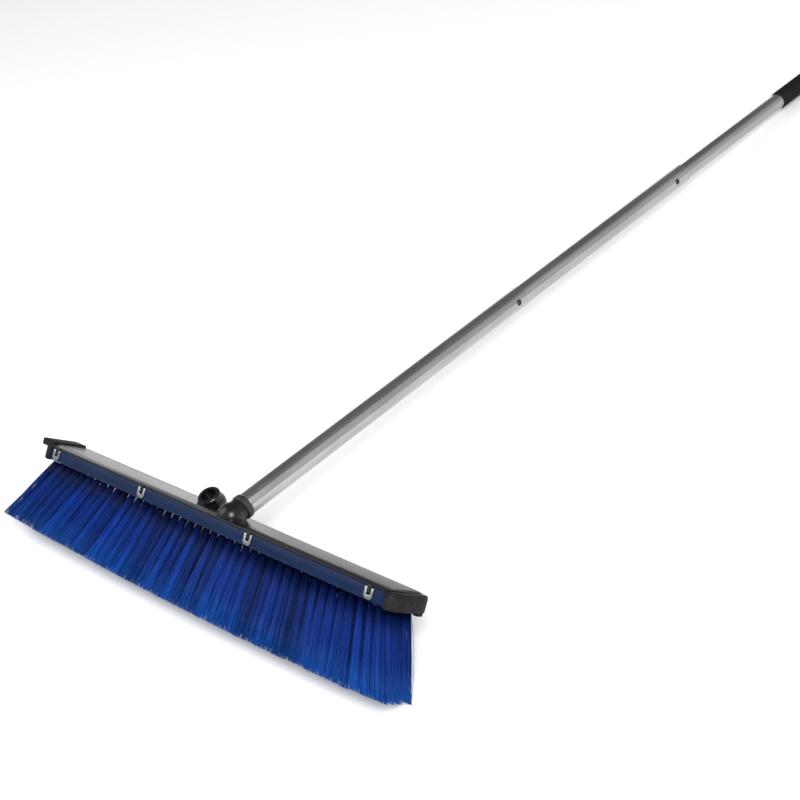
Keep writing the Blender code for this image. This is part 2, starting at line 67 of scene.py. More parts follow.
# Ribs of the rear lip, and the rounding of small parts.
RIB_SHARE = 0.27
RIB_STAND = 0.0003
RIB_INSET = 0.0002
RIB_RISE = 0.0004
RIB_FOOT = 0.35
RIB_MARGIN = 0.004
RIB_ROUNDING = 0.0003
BUMPER_ROUNDING = 0.0022
CLIP_ROUNDING = 0.0004
CLIPS_ON_A_FACE = 4

# Rows of bristles, which hang from the block and fan out along it.
ROW_COUNT = 4
ROW_PITCH = 0.0130
ROW_THICKNESS = 0.0098
ROW_TILT = math.radians(-12.5)
ROW_FLARE = math.radians(0.6)
BRISTLE_LENGTH = 0.0902
BRISTLE_SLANT = 0.020
BRISTLE_ARCH = 0.056
BRISTLE_FAN = math.radians(28.0)
PRESSED_DEPTH = 0.0855
ROOT_HALF = 0.287
ROOT_GAP = 0.0005

# Strands of a tuft, and how far they stray from one another.
ROW_SEED = 410
STRAND_STEPS = 4
STRAND_SIDES = 4
STRAND_TAPER = (1.0, 1.0, 1.0, 1.0, 0.85)
STRAND_EASE = 1.35
STRAND_BOW = 0.0010
TIP_SCATTER = 0.0010
TIP_WEAR = 0.024
TUFT_LEAN = 0.012
INNER_TUFT = (1.0, 0.9)  # share of the strands, depth against width
END_TUFT = (1.8, 1.5)
SLAB_MARGIN = 0.0003
FLOOR_MARGIN = 0.0004

# Sockets that take the handle.
SOCKET_PITCH = 0.0600
SOCKET_LEAN = math.radians(50.0)
SOCKET_CROSSING = 0.0313

# Handle, measured along its axis from the middle of its socket.
TUBE_WALL = 0.00045
LOCK_PLACES = (0.4612, 0.7875)
TUBES = (
    # node, body, outer radius, span, places of its button holes
    ("lower_tube", "lower", 0.0130, (0.0065, 0.4789), LOCK_PLACES[:1]),
    ("middle_tube", "middle", 0.01222, (0.4030, 0.8151), LOCK_PLACES),
    ("upper_tube", "upper", 0.0105, (0.7430, 1.1110), LOCK_PLACES[1:]),
)
HOLE_RADIUS = 0.0038
HOLE_DEPTH = 0.018
HOLE_MIDDLE = 0.0125
HOLE_STEPS = 40
BUTTON_TURN = math.radians(14.0)
DIMPLED_TUBE = "lower_tube"
DIMPLE_PLACES = (0.0220, 0.3835, 0.4455)
DIMPLE_COUNT = 6
DIMPLE_RADIUS = 0.0030
DIMPLE_DEPTH = 0.00022

# Stage.
FLOOR_REACH = 30.0
SKY_DARK_SIDE = (-0.477, 0.485, 0.734)
SKY_STOPS = ((0.35, (0.85, 0.85, 0.86)), (0.92, (0.26, 0.26, 0.27)))
SKY_STRENGTH = 0.9
PANELS = (
    # name, place, point that it faces, edge length, power
    ("key_panel", (2.10, -1.20, 2.10), (0.0, -0.1, 0.0), 1.5, 100.0),
    ("fill_panel", (-1.6, -1.2, 2.0), (0.0, 0.0, 0.0), 2.0, 30.0),
)
CAMERA_PLACE = (1.46972, -1.29486, 1.23277)
CAMERA_RIGHT = (0.698, 0.66083, -0.27586)
CAMERA_UP = (-0.23153, 0.57281, 0.78631)


# Frames ---------------------------------------------------------------------

def axes_matrix(origin, x_axis, y_axis, z_axis):
    """A place in space, from its origin and its three directions."""
    turn = Matrix((x_axis, y_axis, z_axis)).transposed().to_4x4()
    return Matrix.Translation(origin) @ turn


def find_frames():
    """Handle frame, head frame and the handle's slope, from the joint by which it turns."""
    joint = next(joint for joint in frame["joints"] if joint["name"] == "handle_turn")
    along = Vector(joint["axis"]).normalized()
    place = Vector(joint["pos_m"])
    side = Vector((1.0, 0.0, 0.0))
    handle = axes_matrix(place, side, along.cross(side), along)
    slope = math.asin(-along.z)
    lean = math.pi / 2 - SOCKET_LEAN + slope
    out = Vector((0.0, math.sin(lean), math.cos(lean)))
    rear = Vector((0.0, math.cos(lean), -math.sin(lean)))
    corner = place - out * SOCKET_CROSSING - side * (SOCKET_PITCH / 2)
    return handle, axes_matrix(corner, side, rear, out), slope


HANDLE, HEAD, SLOPE = find_frames()


# Shader arithmetic ----------------------------------------------------------

class Wire:
    """What a shader socket carries, which takes part in expressions."""

    def __init__(self, graph, socket):
        self.graph = graph
        self.socket = socket

    def math(self, operation, *values):
        node = self.graph.node("ShaderNodeMath", {"operation": operation}, dict(enumerate(values)))
        return self.graph.wire(node)

    def __add__(self, other):
        return self.math("ADD", self, other)

    def __radd__(self, other):
        return self.math("ADD", other, self)

    def __sub__(self, other):
        return self.math("SUBTRACT", self, other)

    def __rsub__(self, other):
        return self.math("SUBTRACT", other, self)

    def __mul__(self, other):
        return self.math("MULTIPLY", self, other)

    def __rmul__(self, other):
        return self.math("MULTIPLY", other, self)

    def ramp(self, low, high):
        """0 below low, 1 above high, and a smooth step between them."""
        settings = {"interpolation_type": "SMOOTHSTEP"}
        inputs = {"Value": self, "From Min": low, "From Max": high}
        return self.graph.wire(self.graph.node("ShaderNodeMapRange", settings, inputs))


class Graph:
    """The nodes of a material or of the surroundings."""

    def __init__(self, owner):
        owner.use_nodes = True
        self.tree = owner.node_tree
        self.tree.nodes.clear()

    def node(self, kind, settings=None, inputs=None):
        """Adds a node: settings first, then the values or links of its sockets."""
        node = self.tree.nodes.new(kind)
        for key, value in (settings or {}).items():
            if key == "blending":
                node.color_ramp.interpolation = value
            elif key == "stops":
                for element, (position, colour) in zip(node.color_ramp.elements, value):
                    element.position = position
                    element.color = (*colour, 1.0)
            else:
                setattr(node, key, value)
        for key, value in (inputs or {}).items():
            self.feed(node.inputs[key], value)
        return node

    def feed(self, socket, value):
        """Links a wire to a socket, or sets the socket's own value."""
        if isinstance(value, Wire):
            self.tree.links.new(value.socket, socket)
        elif socket.type == "RGBA":
            socket.default_value = (*value[:3], 1.0)
        else:
            socket.default_value = value

    def wire(self, node, output=0):
        return Wire(self, node.outputs[output])


class Finish(Graph):
    """A material under construction."""

    def __init__(self, name):
        self.material = bpy.data.materials.new(name)
        super().__init__(self.material)
        output = self.node("ShaderNodeOutputMaterial")
        self.shader = self.node("ShaderNodeBsdfPrincipled")
        self.feed(output.inputs["Surface"], self.wire(self.shader))

    def coordinates(self, scale=(1.0, 1.0, 1.0), turn=(0.0, 0.0, 0.0)):
        """Object coordinates in metres, turned and then scaled."""
        source = self.wire(self.node("ShaderNodeTexCoord"), "Object")
        if any(turn):
            inputs = {"Vector": source, "Rotation": turn}
            source = self.wire(self.node("ShaderNodeMapping", None, inputs))
        return self.multiply(source, scale)

    def multiply(self, first, second):
        """Two vectors or colours, channel by channel."""
        inputs = {0: first, 1: second}
        return self.wire(self.node("ShaderNodeVectorMath", {"operation": "MULTIPLY"}, inputs))

    def noise(self, where, scale=1.0, detail=2.0, roughness=0.5):
        inputs = {"Vector": where, "Scale": scale, "Detail": detail, "Roughness": roughness}
        return self.wire(self.node("ShaderNodeTexNoise", None, inputs))

    def mix(self, share, first, second):
        """A colour between two others."""
        node = self.node("ShaderNodeMix", {"data_type": "RGBA"}, {0: share, 6: first, 7: second})
        return self.wire(node, 2)

    def attribute(self, name):
        return self.wire(self.node("ShaderNodeAttribute", {"attribute_name": name}), "Fac")

    def bump(self, height, strength, distance):
        inputs = {"Height": height, "Strength": strength, "Distance": distance}
        self.finish(Normal=self.wire(self.node("ShaderNodeBump", None, inputs)))

    def finish(self, **inputs):
        """Sets the surface's own sockets; underscores stand for spaces."""
        for key, value in inputs.items():
            self.feed(self.shader.inputs[key.replace("_", " ")], value)
        return self.material


# Finishes -------------------------------------------------------------------

def dull(colour, share):
    """A colour made darker, or brighter where the share is above 1."""
    return tuple(channel * share for channel in colour)


def plain(colour):
    """A colour setting as three numbers."""
    return tuple(colour)[:3]


def filament_plastic(colour, root, tip):
    """Blue strands, darkened by painted shade at the roots and in the grooves between tufts, and
    paler near the tips by a painted highlight.
    """
    look = Finish("blue_filament")
    along = look.attribute("along")
    strand = look.attribute("strand")
    tuft = look.attribute("tuft")
    groove = look.attribute("groove")
    # Painted shade: the strands darken to the root colour towards their roots.
    body = look.mix(along.ramp(0.0, 0.42), root, colour)
    # Painted shade in the grooves between tufts, on strands that lie far off their tuft's middle.
    body = look.mix(groove.ramp(0.55, 1.0) * (1 - along.ramp(0.75, 1.0)), body, root)
    # Painted highlight: part of the strands turn paler towards their tips.
    body = look.mix(along.ramp(0.55, 1.0) * (0.30 + 0.45 * strand), body, tip)
    shade = 0.32 + 0.36 * strand + 0.66 * tuft
    grey = look.wire(look.node("ShaderNodeCombineXYZ", None, {0: shade, 1: shade, 2: shade}))
    body = look.multiply(body, grey)
    fine = look.noise(look.coordinates(), scale=900.0)
    look.bump(fine, strength=0.15, distance=0.0002)
    return look.finish(Base_Color=body, Roughness=0.42 + 0.2 * fine,
                        Specular_IOR_Level=0.14)


def block_plastic(colour):
    """Moulded blue block, with soft flow marks along it."""
    look = Finish("block_plastic")
    flow = look.noise(look.coordinates((30.0, 160.0, 160.0)), detail=4.0)
    grain = look.noise(look.coordinates(), scale=1500.0)
    body = look.mix(flow.ramp(0.35, 0.65), dull(colour, 0.82), dull(colour, 1.12))
    look.bump(grain + 0.6 * flow, strength=0.22, distance=0.0002)
    return look.finish(Base_Color=body, Roughness=0.30 + 0.16 * grain,
                        Specular_IOR_Level=0.12)


def cover_plastic(colour):
    """Black gloss shell, with faint scuffs and an orange-peel surface."""
    look = Finish("cover_plastic")
    where = look.coordinates((40.0, 220.0, 220.0))
    scuffs = look.noise(where, detail=5.0, roughness=0.62)
    peel = look.noise(look.coordinates(), scale=420.0)
    body = look.mix(scuffs.ramp(0.45, 0.75), colour, dull(colour, 2.2))
    look.bump(peel, strength=0.10, distance=0.0003)
    return look.finish(Base_Color=body, Roughness=0.16 + 0.14 * scuffs,
                        Specular_IOR_Level=0.35)


def mottled_rubber(name, colour, scale, contrast):
    """Matt rubber whose skin has darker and paler patches."""
    look = Finish(name)
    patches = look.noise(look.coordinates(), scale, detail=4.0, roughness=0.6)
    pits = look.noise(look.coordinates(), scale=1400.0, detail=3.0)
    body = look.mix(patches.ramp(0.38, 0.62), dull(colour, 1.0 - contrast),
                     dull(colour, 1.0 + contrast))
    look.bump(pits + 0.8 * patches, strength=0.35, distance=0.0004)
    return look.finish(Base_Color=body, Roughness=0.5 + 0.25 * patches,
                        Specular_IOR_Level=0.18)


def polished_steel(colour, polish):
    """Drawn tube: bright, with hair lines along it and a few cloudy patches."""
    look = Finish("polished_steel")
    where = look.coordinates((900.0, 14.0, 900.0), turn=(SLOPE, 0.0, 0.0))
    lines = look.noise(where, detail=3.0)
    cloud = look.noise(look.coordinates((40.0, 12.0, 40.0)), detail=3.0)
    body = look.mix(cloud.ramp(0.35, 0.7), dull(colour, 0.90), dull(colour, 1.06))
    look.bump(lines, strength=0.02, distance=0.0001)
    return look.finish(Base_Color=body, Metallic=1.0,
                        Roughness=polish * 0.7 + polish * 0.5 * lines + 0.06 * cloud)


def sheet_metal(name, colour, roughness, grain):
    """Pressed or rolled metal with a fine grain."""
    look = Finish(name)
    specks = look.noise(look.coordinates(), scale=grain, detail=3.0)
    cloud = look.noise(look.coordinates(), scale=90.0)
    body = look.mix(cloud.ramp(0.3, 0.7), dull(colour, 0.82), colour)
    look.bump(specks, strength=0.08, distance=0.0001)
    return look.finish(Base_Color=body, Metallic=1.0,
                        Roughness=roughness * 0.8 + roughness * 0.5 * specks)


def moulded_nylon(name, colour, roughness):
    """Small moulded part with a fine spark-eroded grain."""
    look = Finish(name)
    grain = look.noise(look.coordinates(), scale=1800.0, detail=3.0)
    flow = look.noise(look.coordinates(), scale=120.0, detail=3.0)
    body = look.mix(flow.ramp(0.3, 0.7), dull(colour, 0.8), dull(colour, 1.25))
    look.bump(grain, strength=0.2, distance=0.0002)
    return look.finish(Base_Color=body, Roughness=roughness - 0.06 + 0.14 * grain)


def studio_floor(colour):
    """Smooth painted floor with a hardly visible tooth."""
    look = Finish("studio_floor")
    tooth = look.noise(look.coordinates(), scale=60.0, detail=3.0)
    body = look.mix(tooth, dull(colour, 0.995), colour)
    return look.finish(Base_Color=body, Roughness=0.85, Specular_IOR_Level=0.1)


# Mesh helpers ---------------------------------------------------------------

def link(name, data):
    """A new object of the scene."""
    obj = bpy.data.objects.new(name, data)
    bpy.context.scene.collection.objects.link(obj)
    return obj


def new_mesh(name, points=(), edges=(), faces=()):
    """A new object, with a mesh from lists."""
    mesh = bpy.data.meshes.new(name)
    mesh.from_pydata([tuple(point) for point in points], list(edges), list(faces))
    mesh.update()
    return link(name, mesh)


def remove(obj):
    """Removes an object together with its mesh or curve."""
    data = obj.data
    home = bpy.data.curves if obj.type == "CURVE" else bpy.data.meshes
    bpy.data.objects.remove(obj)
    home.remove(data)


def apply_stack(obj, place=None):
    """Applies the modifiers, turns a curve into a mesh, and sets its place in the mesh."""
    bpy.context.view_layer.update()
    graph = bpy.context.evaluated_depsgraph_get()
    mesh = bpy.data.meshes.new_from_object(obj.evaluated_get(graph))
    if place is not None:
        mesh.transform(place)
    name = obj.name
    remove(obj)
    mesh.name = name
    return link(name, mesh)


def add_bevel(obj, width, segments=2, angle=35.0):
    """Rounds the edges that are sharper than the angle."""
    bevel = obj.modifiers.new("rounded_edges", "BEVEL")
    bevel.width = width
    bevel.segments = segments
    bevel.use_clamp_overlap = True
    bevel.limit_method = "ANGLE"
    bevel.angle_limit = math.radians(angle)
    bevel.harden_normals = False


def smooth(obj, angle=35.0):
    """Soft shading, except across edges sharper than the angle."""
    shape = bmesh.new()
    shape.from_mesh(obj.data)
    for face in shape.faces:
        face.smooth = True
    for edge in shape.edges:
        edge.smooth = edge.calc_face_angle(math.pi) < math.radians(angle)
    shape.to_mesh(obj.data)
    shape.free()
    return obj


def turned(name, profile, place, steps):
    """A turned wall: its closed profile runs from top to bottom at +X and back up."""
    count = len(profile)
    edges = [(index, (index + 1) % count) for index in range(count)]
    obj = new_mesh(name, [(radius, 0.0, height) for radius, height in profile], edges)
    screw = obj.modifiers.new("turned", "SCREW")
    screw.axis = "Z"
    screw.steps = steps
    screw.render_steps = steps
    screw.use_merge_vertices = True
    screw.merge_threshold = 0.00001
    return apply_stack(obj, place)


def cut(obj, helpers):
    """Cuts helpers out of a piece, and removes them."""
    for helper in helpers:
        boolean = obj.modifiers.new("cut", "BOOLEAN")
        boolean.operation = "DIFFERENCE"
        boolean.solver = "EXACT"
        boolean.object = helper
    result = apply_stack(obj)
    for helper in helpers:
        remove(helper)
    return result


def merged_copy(node, name, angle=35.0, rounding=0.0):
    """A smooth copy of a frame node, with its loose triangles joined."""
    mesh = frame["nodes"][node].data.copy()
    mesh.name = name
    mesh.materials.clear()
    obj = link(name, mesh)
    shape = bmesh.new()
    shape.from_mesh(mesh)
    bmesh.ops.remove_doubles(shape, verts=shape.verts, dist=0.00002)
    bmesh.ops.dissolve_limit(shape, angle_limit=math.radians(0.5), verts=shape.verts,
                             edges=shape.edges)
    bmesh.ops.recalc_face_normals(shape, faces=shape.faces)
    shape.to_mesh(mesh)
    shape.free()
    if mesh.has_custom_normals:
        mesh.attributes.remove(mesh.attributes["custom_normal"])
    if rounding:
        add_bevel(obj, rounding)
        obj = apply_stack(obj)
    return smooth(obj, angle)


def own(obj, material, body, slot, *nodes):
    """Gives a piece its material and body, and hides the frame nodes it stands for."""
    obj.data.materials.clear()
    obj.data.materials.append(material)
    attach(obj, body)
    if nodes:
        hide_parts(*nodes)


def repaint(material, *names):
    """Gives frame nodes a finish of this file."""
    for name in names:
        for slot in frame["nodes"][name].material_slots:
            slot.material = material


# Settings -------------------------------------------------------------------

def colour_property(name, description, default):
    return FloatVectorProperty(name=name, description=description, default=default,
                               subtype="COLOR", size=3, min=0.0, max=1.0)


def length_property(name, description, default):
    return FloatProperty(name=name, description=description, default=default,
                         unit="LENGTH", subtype="DISTANCE")


class BroomBristleSettings(bpy.types.PropertyGroup):
    tufts: IntProperty(name="Tufts", description="Tufts in each row", default=42, min=4)
    strands: IntProperty(name="Strands", description="Strands in each tuft", default=84, min=3)
    thickness: length_property("Strand", "Thickness of a strand", 0.00056)
    hole: length_property("Hole", "Radius of a tuft at its root", 0.0038)
    colour: colour_property("Colour", "Colour of the strands", (0.0006, 0.031, 0.245))
    # Roots: colour of the painted shade at the roots and in the grooves between tufts.
    root: colour_property("Roots", "Colour deep between the roots", (0.0005, 0.005, 0.045))
    # Tips: colour of the painted highlight near the ends of the strands.
    tip: colour_property("Tips", "Colour of the frayed tips", (0.006, 0.085, 0.36))


class BroomHeadSettings(bpy.types.PropertyGroup):
    block: colour_property("Block", "Colour of the block", (0.0015, 0.011, 0.046))
    cover: colour_property("Cover", "Colour of the cover", (0.004, 0.004, 0.005))
    bumper: colour_property("Bumpers", "Colour of the end bumpers", (0.0060, 0.0052, 0.0056))
    clip: colour_property("Clips", "Colour of the clips", (0.32, 0.32, 0.34))
    rib: colour_property("Ribs", "Colour of the ribs on the rear lip", (0.014, 0.014, 0.016))
    rib_pitch: length_property("Rib pitch", "Spacing of the ribs on the rear lip", 0.0036)


class BroomHandleSettings(bpy.types.PropertyGroup):
    steel: colour_property("Steel", "Colour of the tubes", (0.435, 0.42, 0.425))
    grip: colour_property("Grip", "Colour of the hand grip", (0.0035, 0.0035, 0.0055))
    ferrule: colour_property("Ferrule", "Colour of the threaded end", (0.016, 0.016, 0.018))
    plug: colour_property("Plugs", "Colour of the tube plugs", (0.10, 0.10, 0.11))
    button: colour_property("Buttons", "Colour of the snap buttons", (0.10, 0.10, 0.11))
    spring: colour_property("Springs", "Colour of the button springs", (0.36, 0.36, 0.38))
    polish: FloatProperty(name="Polish", description="Roughness of the tubes", default=0.20,
                          min=0.02, max=1.0, subtype="FACTOR")
    steps: IntProperty(name="Steps", description="Steps around a tube", default=96, min=12)


class BroomStageSettings(bpy.types.PropertyGroup):
    floor: colour_property("Floor", "Colour of the floor", (0.93, 0.93, 0.93))
    lens: FloatProperty(name="Lens", description="Focal length in millimetres",
                        default=81.165, min=10.0)


# Pieces ---------------------------------------------------------------------

class BROOM_OT_bristles(bpy.types.Operator):
    """Lays the rows of tufts, one piece for each row"""
    bl_idname = "broom.bristles"
    bl_label = "Bristles"

    def execute(self, context):
        settings = context.scene.broom_bristles
        material = filament_plastic(plain(settings.colour), plain(settings.root),
                                    plain(settings.tip))
        for index in range(ROW_COUNT):
            lay_row(index, settings, material)
        return {"FINISHED"}


def row_length(across, is_last, fan):
    """Length of the strands at a share of the way along the head, from -1 to 1."""
    if is_last:
        return PRESSED_DEPTH / math.cos(fan)
    return BRISTLE_LENGTH * (1 + BRISTLE_SLANT * across + BRISTLE_ARCH * across * across)


def even_out(share):
    """Spreads the points of a round bundle evenly over a square one."""
    return (math.asin(share) + share * math.sqrt(1 - share * share)) * 2 / math.pi


def row_frame(index):
    """Place of a row: x along the head, z up along the strands."""
    middle = index - (ROW_COUNT - 1) / 2
    turn = ROW_TILT + middle * ROW_FLARE
    lift = -ROOT_GAP - ROW_THICKNESS / 2 * math.sin(abs(turn))
    place = HEAD @ Matrix.Translation((0.0, middle * ROW_PITCH, lift))
    return place @ Matrix.Rotation(turn, 4, "X")


def strand_line(root, end, bow, walls):
    """Points of a strand from its root to its tip, kept between two planes."""
    points = []
    for step in range(STRAND_STEPS + 1):
        part = step / STRAND_STEPS
        wave = bow * math.sin(math.pi * part)
        x = root[0] + (end[0] - root[0]) * part + wave
        y = root[1] + (end[1] - root[1]) * part ** STRAND_EASE + 0.5 * wave
        points += [x, max(walls[0], min(walls[1], y)), end[2] * part, 1.0]
    return points


def lay_row(index, settings, material):
    """One row: strands that leave their holes close together and spread."""
    dice = random.Random(ROW_SEED + index)
    curve = bpy.data.curves.new(f"tuft_row_{index + 1}", "CURVE")
    curve.dimensions = "3D"
    curve.bevel_depth = settings.thickness / 2
    curve.bevel_resolution = 0
    reach = ROOT_HALF - settings.hole
    pitch = 2 * reach / (settings.tufts - 1)
    is_last = index == ROW_COUNT - 1
    edge = ROW_THICKNESS / 2 - SLAB_MARGIN
    walls = (-edge if index == 0 else -ROW_PITCH / 2, edge if is_last else ROW_PITCH / 2)
    marks = []
    for tuft in range(settings.tufts):
        centre = -reach + tuft * pitch
        tuft_mark = dice.random()
        lean = dice.gauss(0.0, TUFT_LEAN)
        extra, depth = END_TUFT if tuft in (0, settings.tufts - 1) else INNER_TUFT
        for _ in range(int(settings.strands * extra)):
            share = math.sqrt(dice.random())
            around = dice.uniform(0.0, 2 * math.pi)
            root = (centre + share * settings.hole * math.cos(around),
                    share * settings.hole * depth * math.sin(around))
            spread = (even_out(share * math.cos(around)) * pitch * 0.5
                      + dice.gauss(0.0, TIP_SCATTER))
            tip_x = centre + spread
            tip_y = even_out(share * math.sin(around)) * ROW_PITCH * 0.5
            across = max(-1.0, min(1.0, tip_x / ROOT_HALF))
            fan = BRISTLE_FAN * across + lean
            long = row_length(across, is_last, BRISTLE_FAN * across)
            long *= 1.0 - TIP_WEAR * dice.random() ** 2
            if is_last:
                long -= FLOOR_MARGIN
            end = (tip_x + long * math.sin(fan), tip_y, -long * math.cos(fan))
            points = strand_line(root, end, dice.gauss(0.0, STRAND_BOW), walls)
            spline = curve.splines.new("POLY")
            spline.points.add(STRAND_STEPS)
            spline.points.foreach_set("co", points)
            spline.points.foreach_set("radius", STRAND_TAPER)
            # The last mark, how far a strand lies off its tuft's middle, masks the painted groove
            # shade.
            marks.append((dice.random(), tuft_mark, abs(share * math.cos(around))))
    obj = apply_stack(link(curve.name, curve), row_frame(index))
    close_strands(obj.data)
    mark_strands(obj.data, marks)
    own(obj, material, "head", "bristles", f"bristle_row_{index + 1}")


def mark_strands(mesh, marks):
    """Stores each strand's marks, and the share of the way along it, at its points."""
    each = STRAND_SIDES * (STRAND_STEPS + 1)
    if each * len(marks) != len(mesh.vertices):
        raise RuntimeError("the strands of a row do not all have the same points")
    along = [corner // STRAND_SIDES / STRAND_STEPS for corner in range(each)]
    values = {"along": along * len(marks)}
    for place, name in enumerate(("strand", "tuft", "groove")):
        values[name] = [mark[place] for mark in marks for _ in range(each)]
    for name, numbers in values.items():
        layer = mesh.attributes.new(name, "FLOAT", "POINT")
        layer.data.foreach_set("value", numbers)


def close_strands(mesh):
    """Shades the strands softly and closes both ends of each with a flat face."""
    shape = bmesh.new()
    shape.from_mesh(mesh)
    for face in shape.faces:
        face.smooth = True
    bmesh.ops.holes_fill(shape, edges=shape.edges, sides=STRAND_SIDES)
    shape.to_mesh(mesh)
    shape.free()


class BROOM_OT_head(bpy.types.Operator):
    """Finishes the block, cover, bumpers and clips of the head"""
    bl_idname = "broom.head"
    bl_label = "Head"

    def execute(self, context):
        settings = context.scene.broom_head
        own(merged_copy("brush_block", "block_body"), block_plastic(plain(settings.block)),
            "head", "block", "brush_block")
        gloss = cover_plastic(plain(settings.cover))
        own(merged_copy("top_cover", "cover_shell", 28.0), gloss, "head", "cover", "top_cover")
        rubber = mottled_rubber("bumper_rubber", plain(settings.bumper), scale=150.0,
                                contrast=0.75)
        for side in ("left", "right"):
            node = f"end_bumper_{side}"
            piece = merged_copy(node, f"bumper_{side}", 50.0, BUMPER_ROUNDING)
            own(piece, rubber, "head", "bumper", node)
        bright = sheet_metal("clip_steel", plain(settings.clip), roughness=0.16, grain=2400.0)
        for face in ("front", "rear"):
            for number in range(1, CLIPS_ON_A_FACE + 1):
                node = f"{face}_clip_{number}"
                piece = merged_copy(node, f"{face}_staple_{number}", 30.0, CLIP_ROUNDING)
                own(piece, bright, "head", "clips", node)
        return {"FINISHED"}


class BROOM_OT_ribs(bpy.types.Operator):
    """Knurls the rear lip of the cover with small ribs"""
    bl_idname = "broom.ribs"
    bl_label = "Lip ribs"

    def execute(self, context):
        settings = context.scene.broom_head
        obj = rib(settings.rib_pitch * RIB_SHARE)
        add_bevel(obj, RIB_ROUNDING, 1)
        array = obj.modifiers.new("along_lip", "ARRAY")
        array.use_relative_offset = False
        array.use_constant_offset = True
        array.constant_offset_displace = (settings.rib_pitch, 0.0, 0.0)
        array.count = int((BLOCK_LENGTH - RIB_MARGIN) / settings.rib_pitch)
        start = -(array.count - 1) * settings.rib_pitch / 2
        obj = apply_stack(obj, HEAD @ Matrix.Translation((start, 0.0, 0.0)))
        own(obj, cover_plastic(plain(settings.rib)), "head", "cover")
        return {"FINISHED"}


def rib(half):
    """One rib, across the slope from the top of the cover to its rear lip."""
    low = BLOCK_HEIGHT + GAP + COVER_LIP * RIB_FOOT
    inner = COVER_TOP_WIDTH / 2 - RIB_INSET
    outer = COVER_WIDTH / 2 + RIB_STAND
    top_in = HEAD_TOP - COVER_CROWN + RIB_STAND
    top_out = BLOCK_HEIGHT + GAP + COVER_LIP + RIB_RISE
    outline = [(inner, low), (outer, low), (outer, top_out), (inner, top_in)]
    points = [(x, y, z) for x in (-half, half) for y, z in outline]
    faces = [(0, 3, 2, 1), (4, 5, 6, 7), (0, 1, 5, 4), (1, 2, 6, 5), (2, 3, 7, 6),
             (3, 0, 4, 7)]
    return new_mesh("lip_ribs", points, faces=faces)


class BROOM_OT_tubes(bpy.types.Operator):
    """Turns the three polished tubes of the handle"""
    bl_idname = "broom.tubes"
    bl_label = "Tubes"

    def execute(self, context):
        settings = context.scene.broom_handle
        steel = polished_steel(plain(settings.steel), settings.polish)
        for node, body, radius, (low, high), holes in TUBES:
            obj = turned(node + "_skin", tube_profile(radius, low, high), HANDLE,
                         settings.steps)
            helpers = [hole_helper(place) for place in holes]
            if node == DIMPLED_TUBE:
                helpers.append(dimple_helper(radius))
            own(smooth(cut(obj, helpers), 30.0), steel, body, "tubes", node)
        return {"FINISHED"}


def tube_profile(radius, low, high):
    """Wall of a tube with both rims rolled over, from the top down and back up."""
    rim = TUBE_WALL / 2
    middle = radius - rim
    top = [(middle + rim * math.sin(turn), high - rim + rim * math.cos(turn))
           for turn in map(math.radians, range(-60, 91, 30))]
    foot = [(middle + rim * math.sin(turn), low + rim + rim * math.cos(turn))
            for turn in map(math.radians, range(90, 271, 30))]
    return top + foot + [(radius - TUBE_WALL, high - rim)]


def hole_helper(place):
    """A rod through the wall of a tube on the side where its button faces."""
    obj = new_mesh("hole_helper")
    shape = bmesh.new()
    bmesh.ops.create_cone(shape, cap_ends=True, segments=HOLE_STEPS, radius1=HOLE_RADIUS,
                          radius2=HOLE_RADIUS, depth=HOLE_DEPTH)
    shape.transform(Matrix.Translation((0.0, 0.0, HOLE_MIDDLE)))
    shape.to_mesh(obj.data)
    shape.free()
    facing = Matrix.Rotation(-BUTTON_TURN, 4, "Z") @ Matrix.Rotation(math.pi / 2, 4, "Y")
    obj.data.transform(HANDLE @ Matrix.Translation((0.0, 0.0, place)) @ facing)
    return obj


def dimple_helper(radius):
    """Balls that dent the outside of the lower tube."""
    obj = new_mesh("dimple_helper")
    shape = bmesh.new()
    distance = radius - DIMPLE_DEPTH + DIMPLE_RADIUS
    for place in DIMPLE_PLACES:
        for index in range(DIMPLE_COUNT):
            turn = 2 * math.pi * index / DIMPLE_COUNT
            spot = (distance * math.cos(turn), distance * math.sin(turn), place)
            bmesh.ops.create_icosphere(shape, subdivisions=3, radius=DIMPLE_RADIUS,
                                       matrix=Matrix.Translation(spot))
    shape.to_mesh(obj.data)
    shape.free()
    obj.data.transform(HANDLE)
    return obj


class BROOM_OT_fittings(bpy.types.Operator):
    """Finishes the grip, ferrule, plugs, buttons and springs"""
    bl_idname = "broom.fittings"
    bl_label = "Handle fittings"

    def execute(self, context):
        settings = context.scene.broom_handle
        rubber = mottled_rubber("grip_rubber", plain(settings.grip), scale=260.0, contrast=0.55)
        own(merged_copy("hand_grip", "grip_sleeve", 50.0), rubber, "upper", "grip", "hand_grip")
        nylon = moulded_nylon("ferrule_nylon", plain(settings.ferrule), roughness=0.42)
        own(merged_copy("threaded_ferrule", "threaded_end", 40.0), nylon, "lower", "ferrule",
            "threaded_ferrule")
        grey = moulded_nylon("plug_nylon", plain(settings.plug), roughness=0.5)
        repaint(grey, "middle_tube_plug", "upper_tube_plug")
        steel = sheet_metal("button_steel", plain(settings.button), roughness=0.30, grain=2000.0)
        repaint(steel, "snap_button_1", "snap_button_2")
        leaf = sheet_metal("spring_steel", plain(settings.spring), roughness=0.34, grain=1600.0)
        repaint(leaf, "button_spring_1", "button_spring_2")
        return {"FINISHED"}


class BROOM_OT_stage(bpy.types.Operator):
    """Lays the pale floor, hangs the studio lights and sets the camera"""
    bl_idname = "broom.stage"
    bl_label = "Stage"

    def execute(self, context):
        settings = context.scene.broom_stage
        reach = FLOOR_REACH
        corners = [(-reach, -reach, 0.0), (reach, -reach, 0.0), (reach, reach, 0.0),
                   (-reach, reach, 0.0)]
        floor = new_mesh("floor", corners, faces=[(0, 1, 2, 3)])
        floor.data.materials.append(studio_floor(plain(settings.floor)))
        context.scene.view_settings.view_transform = "Standard"
        light_sky(context.scene)
        for panel in PANELS:
            add_panel(*panel)
        add_camera(context.scene, settings.lens)
        return {"FINISHED"}


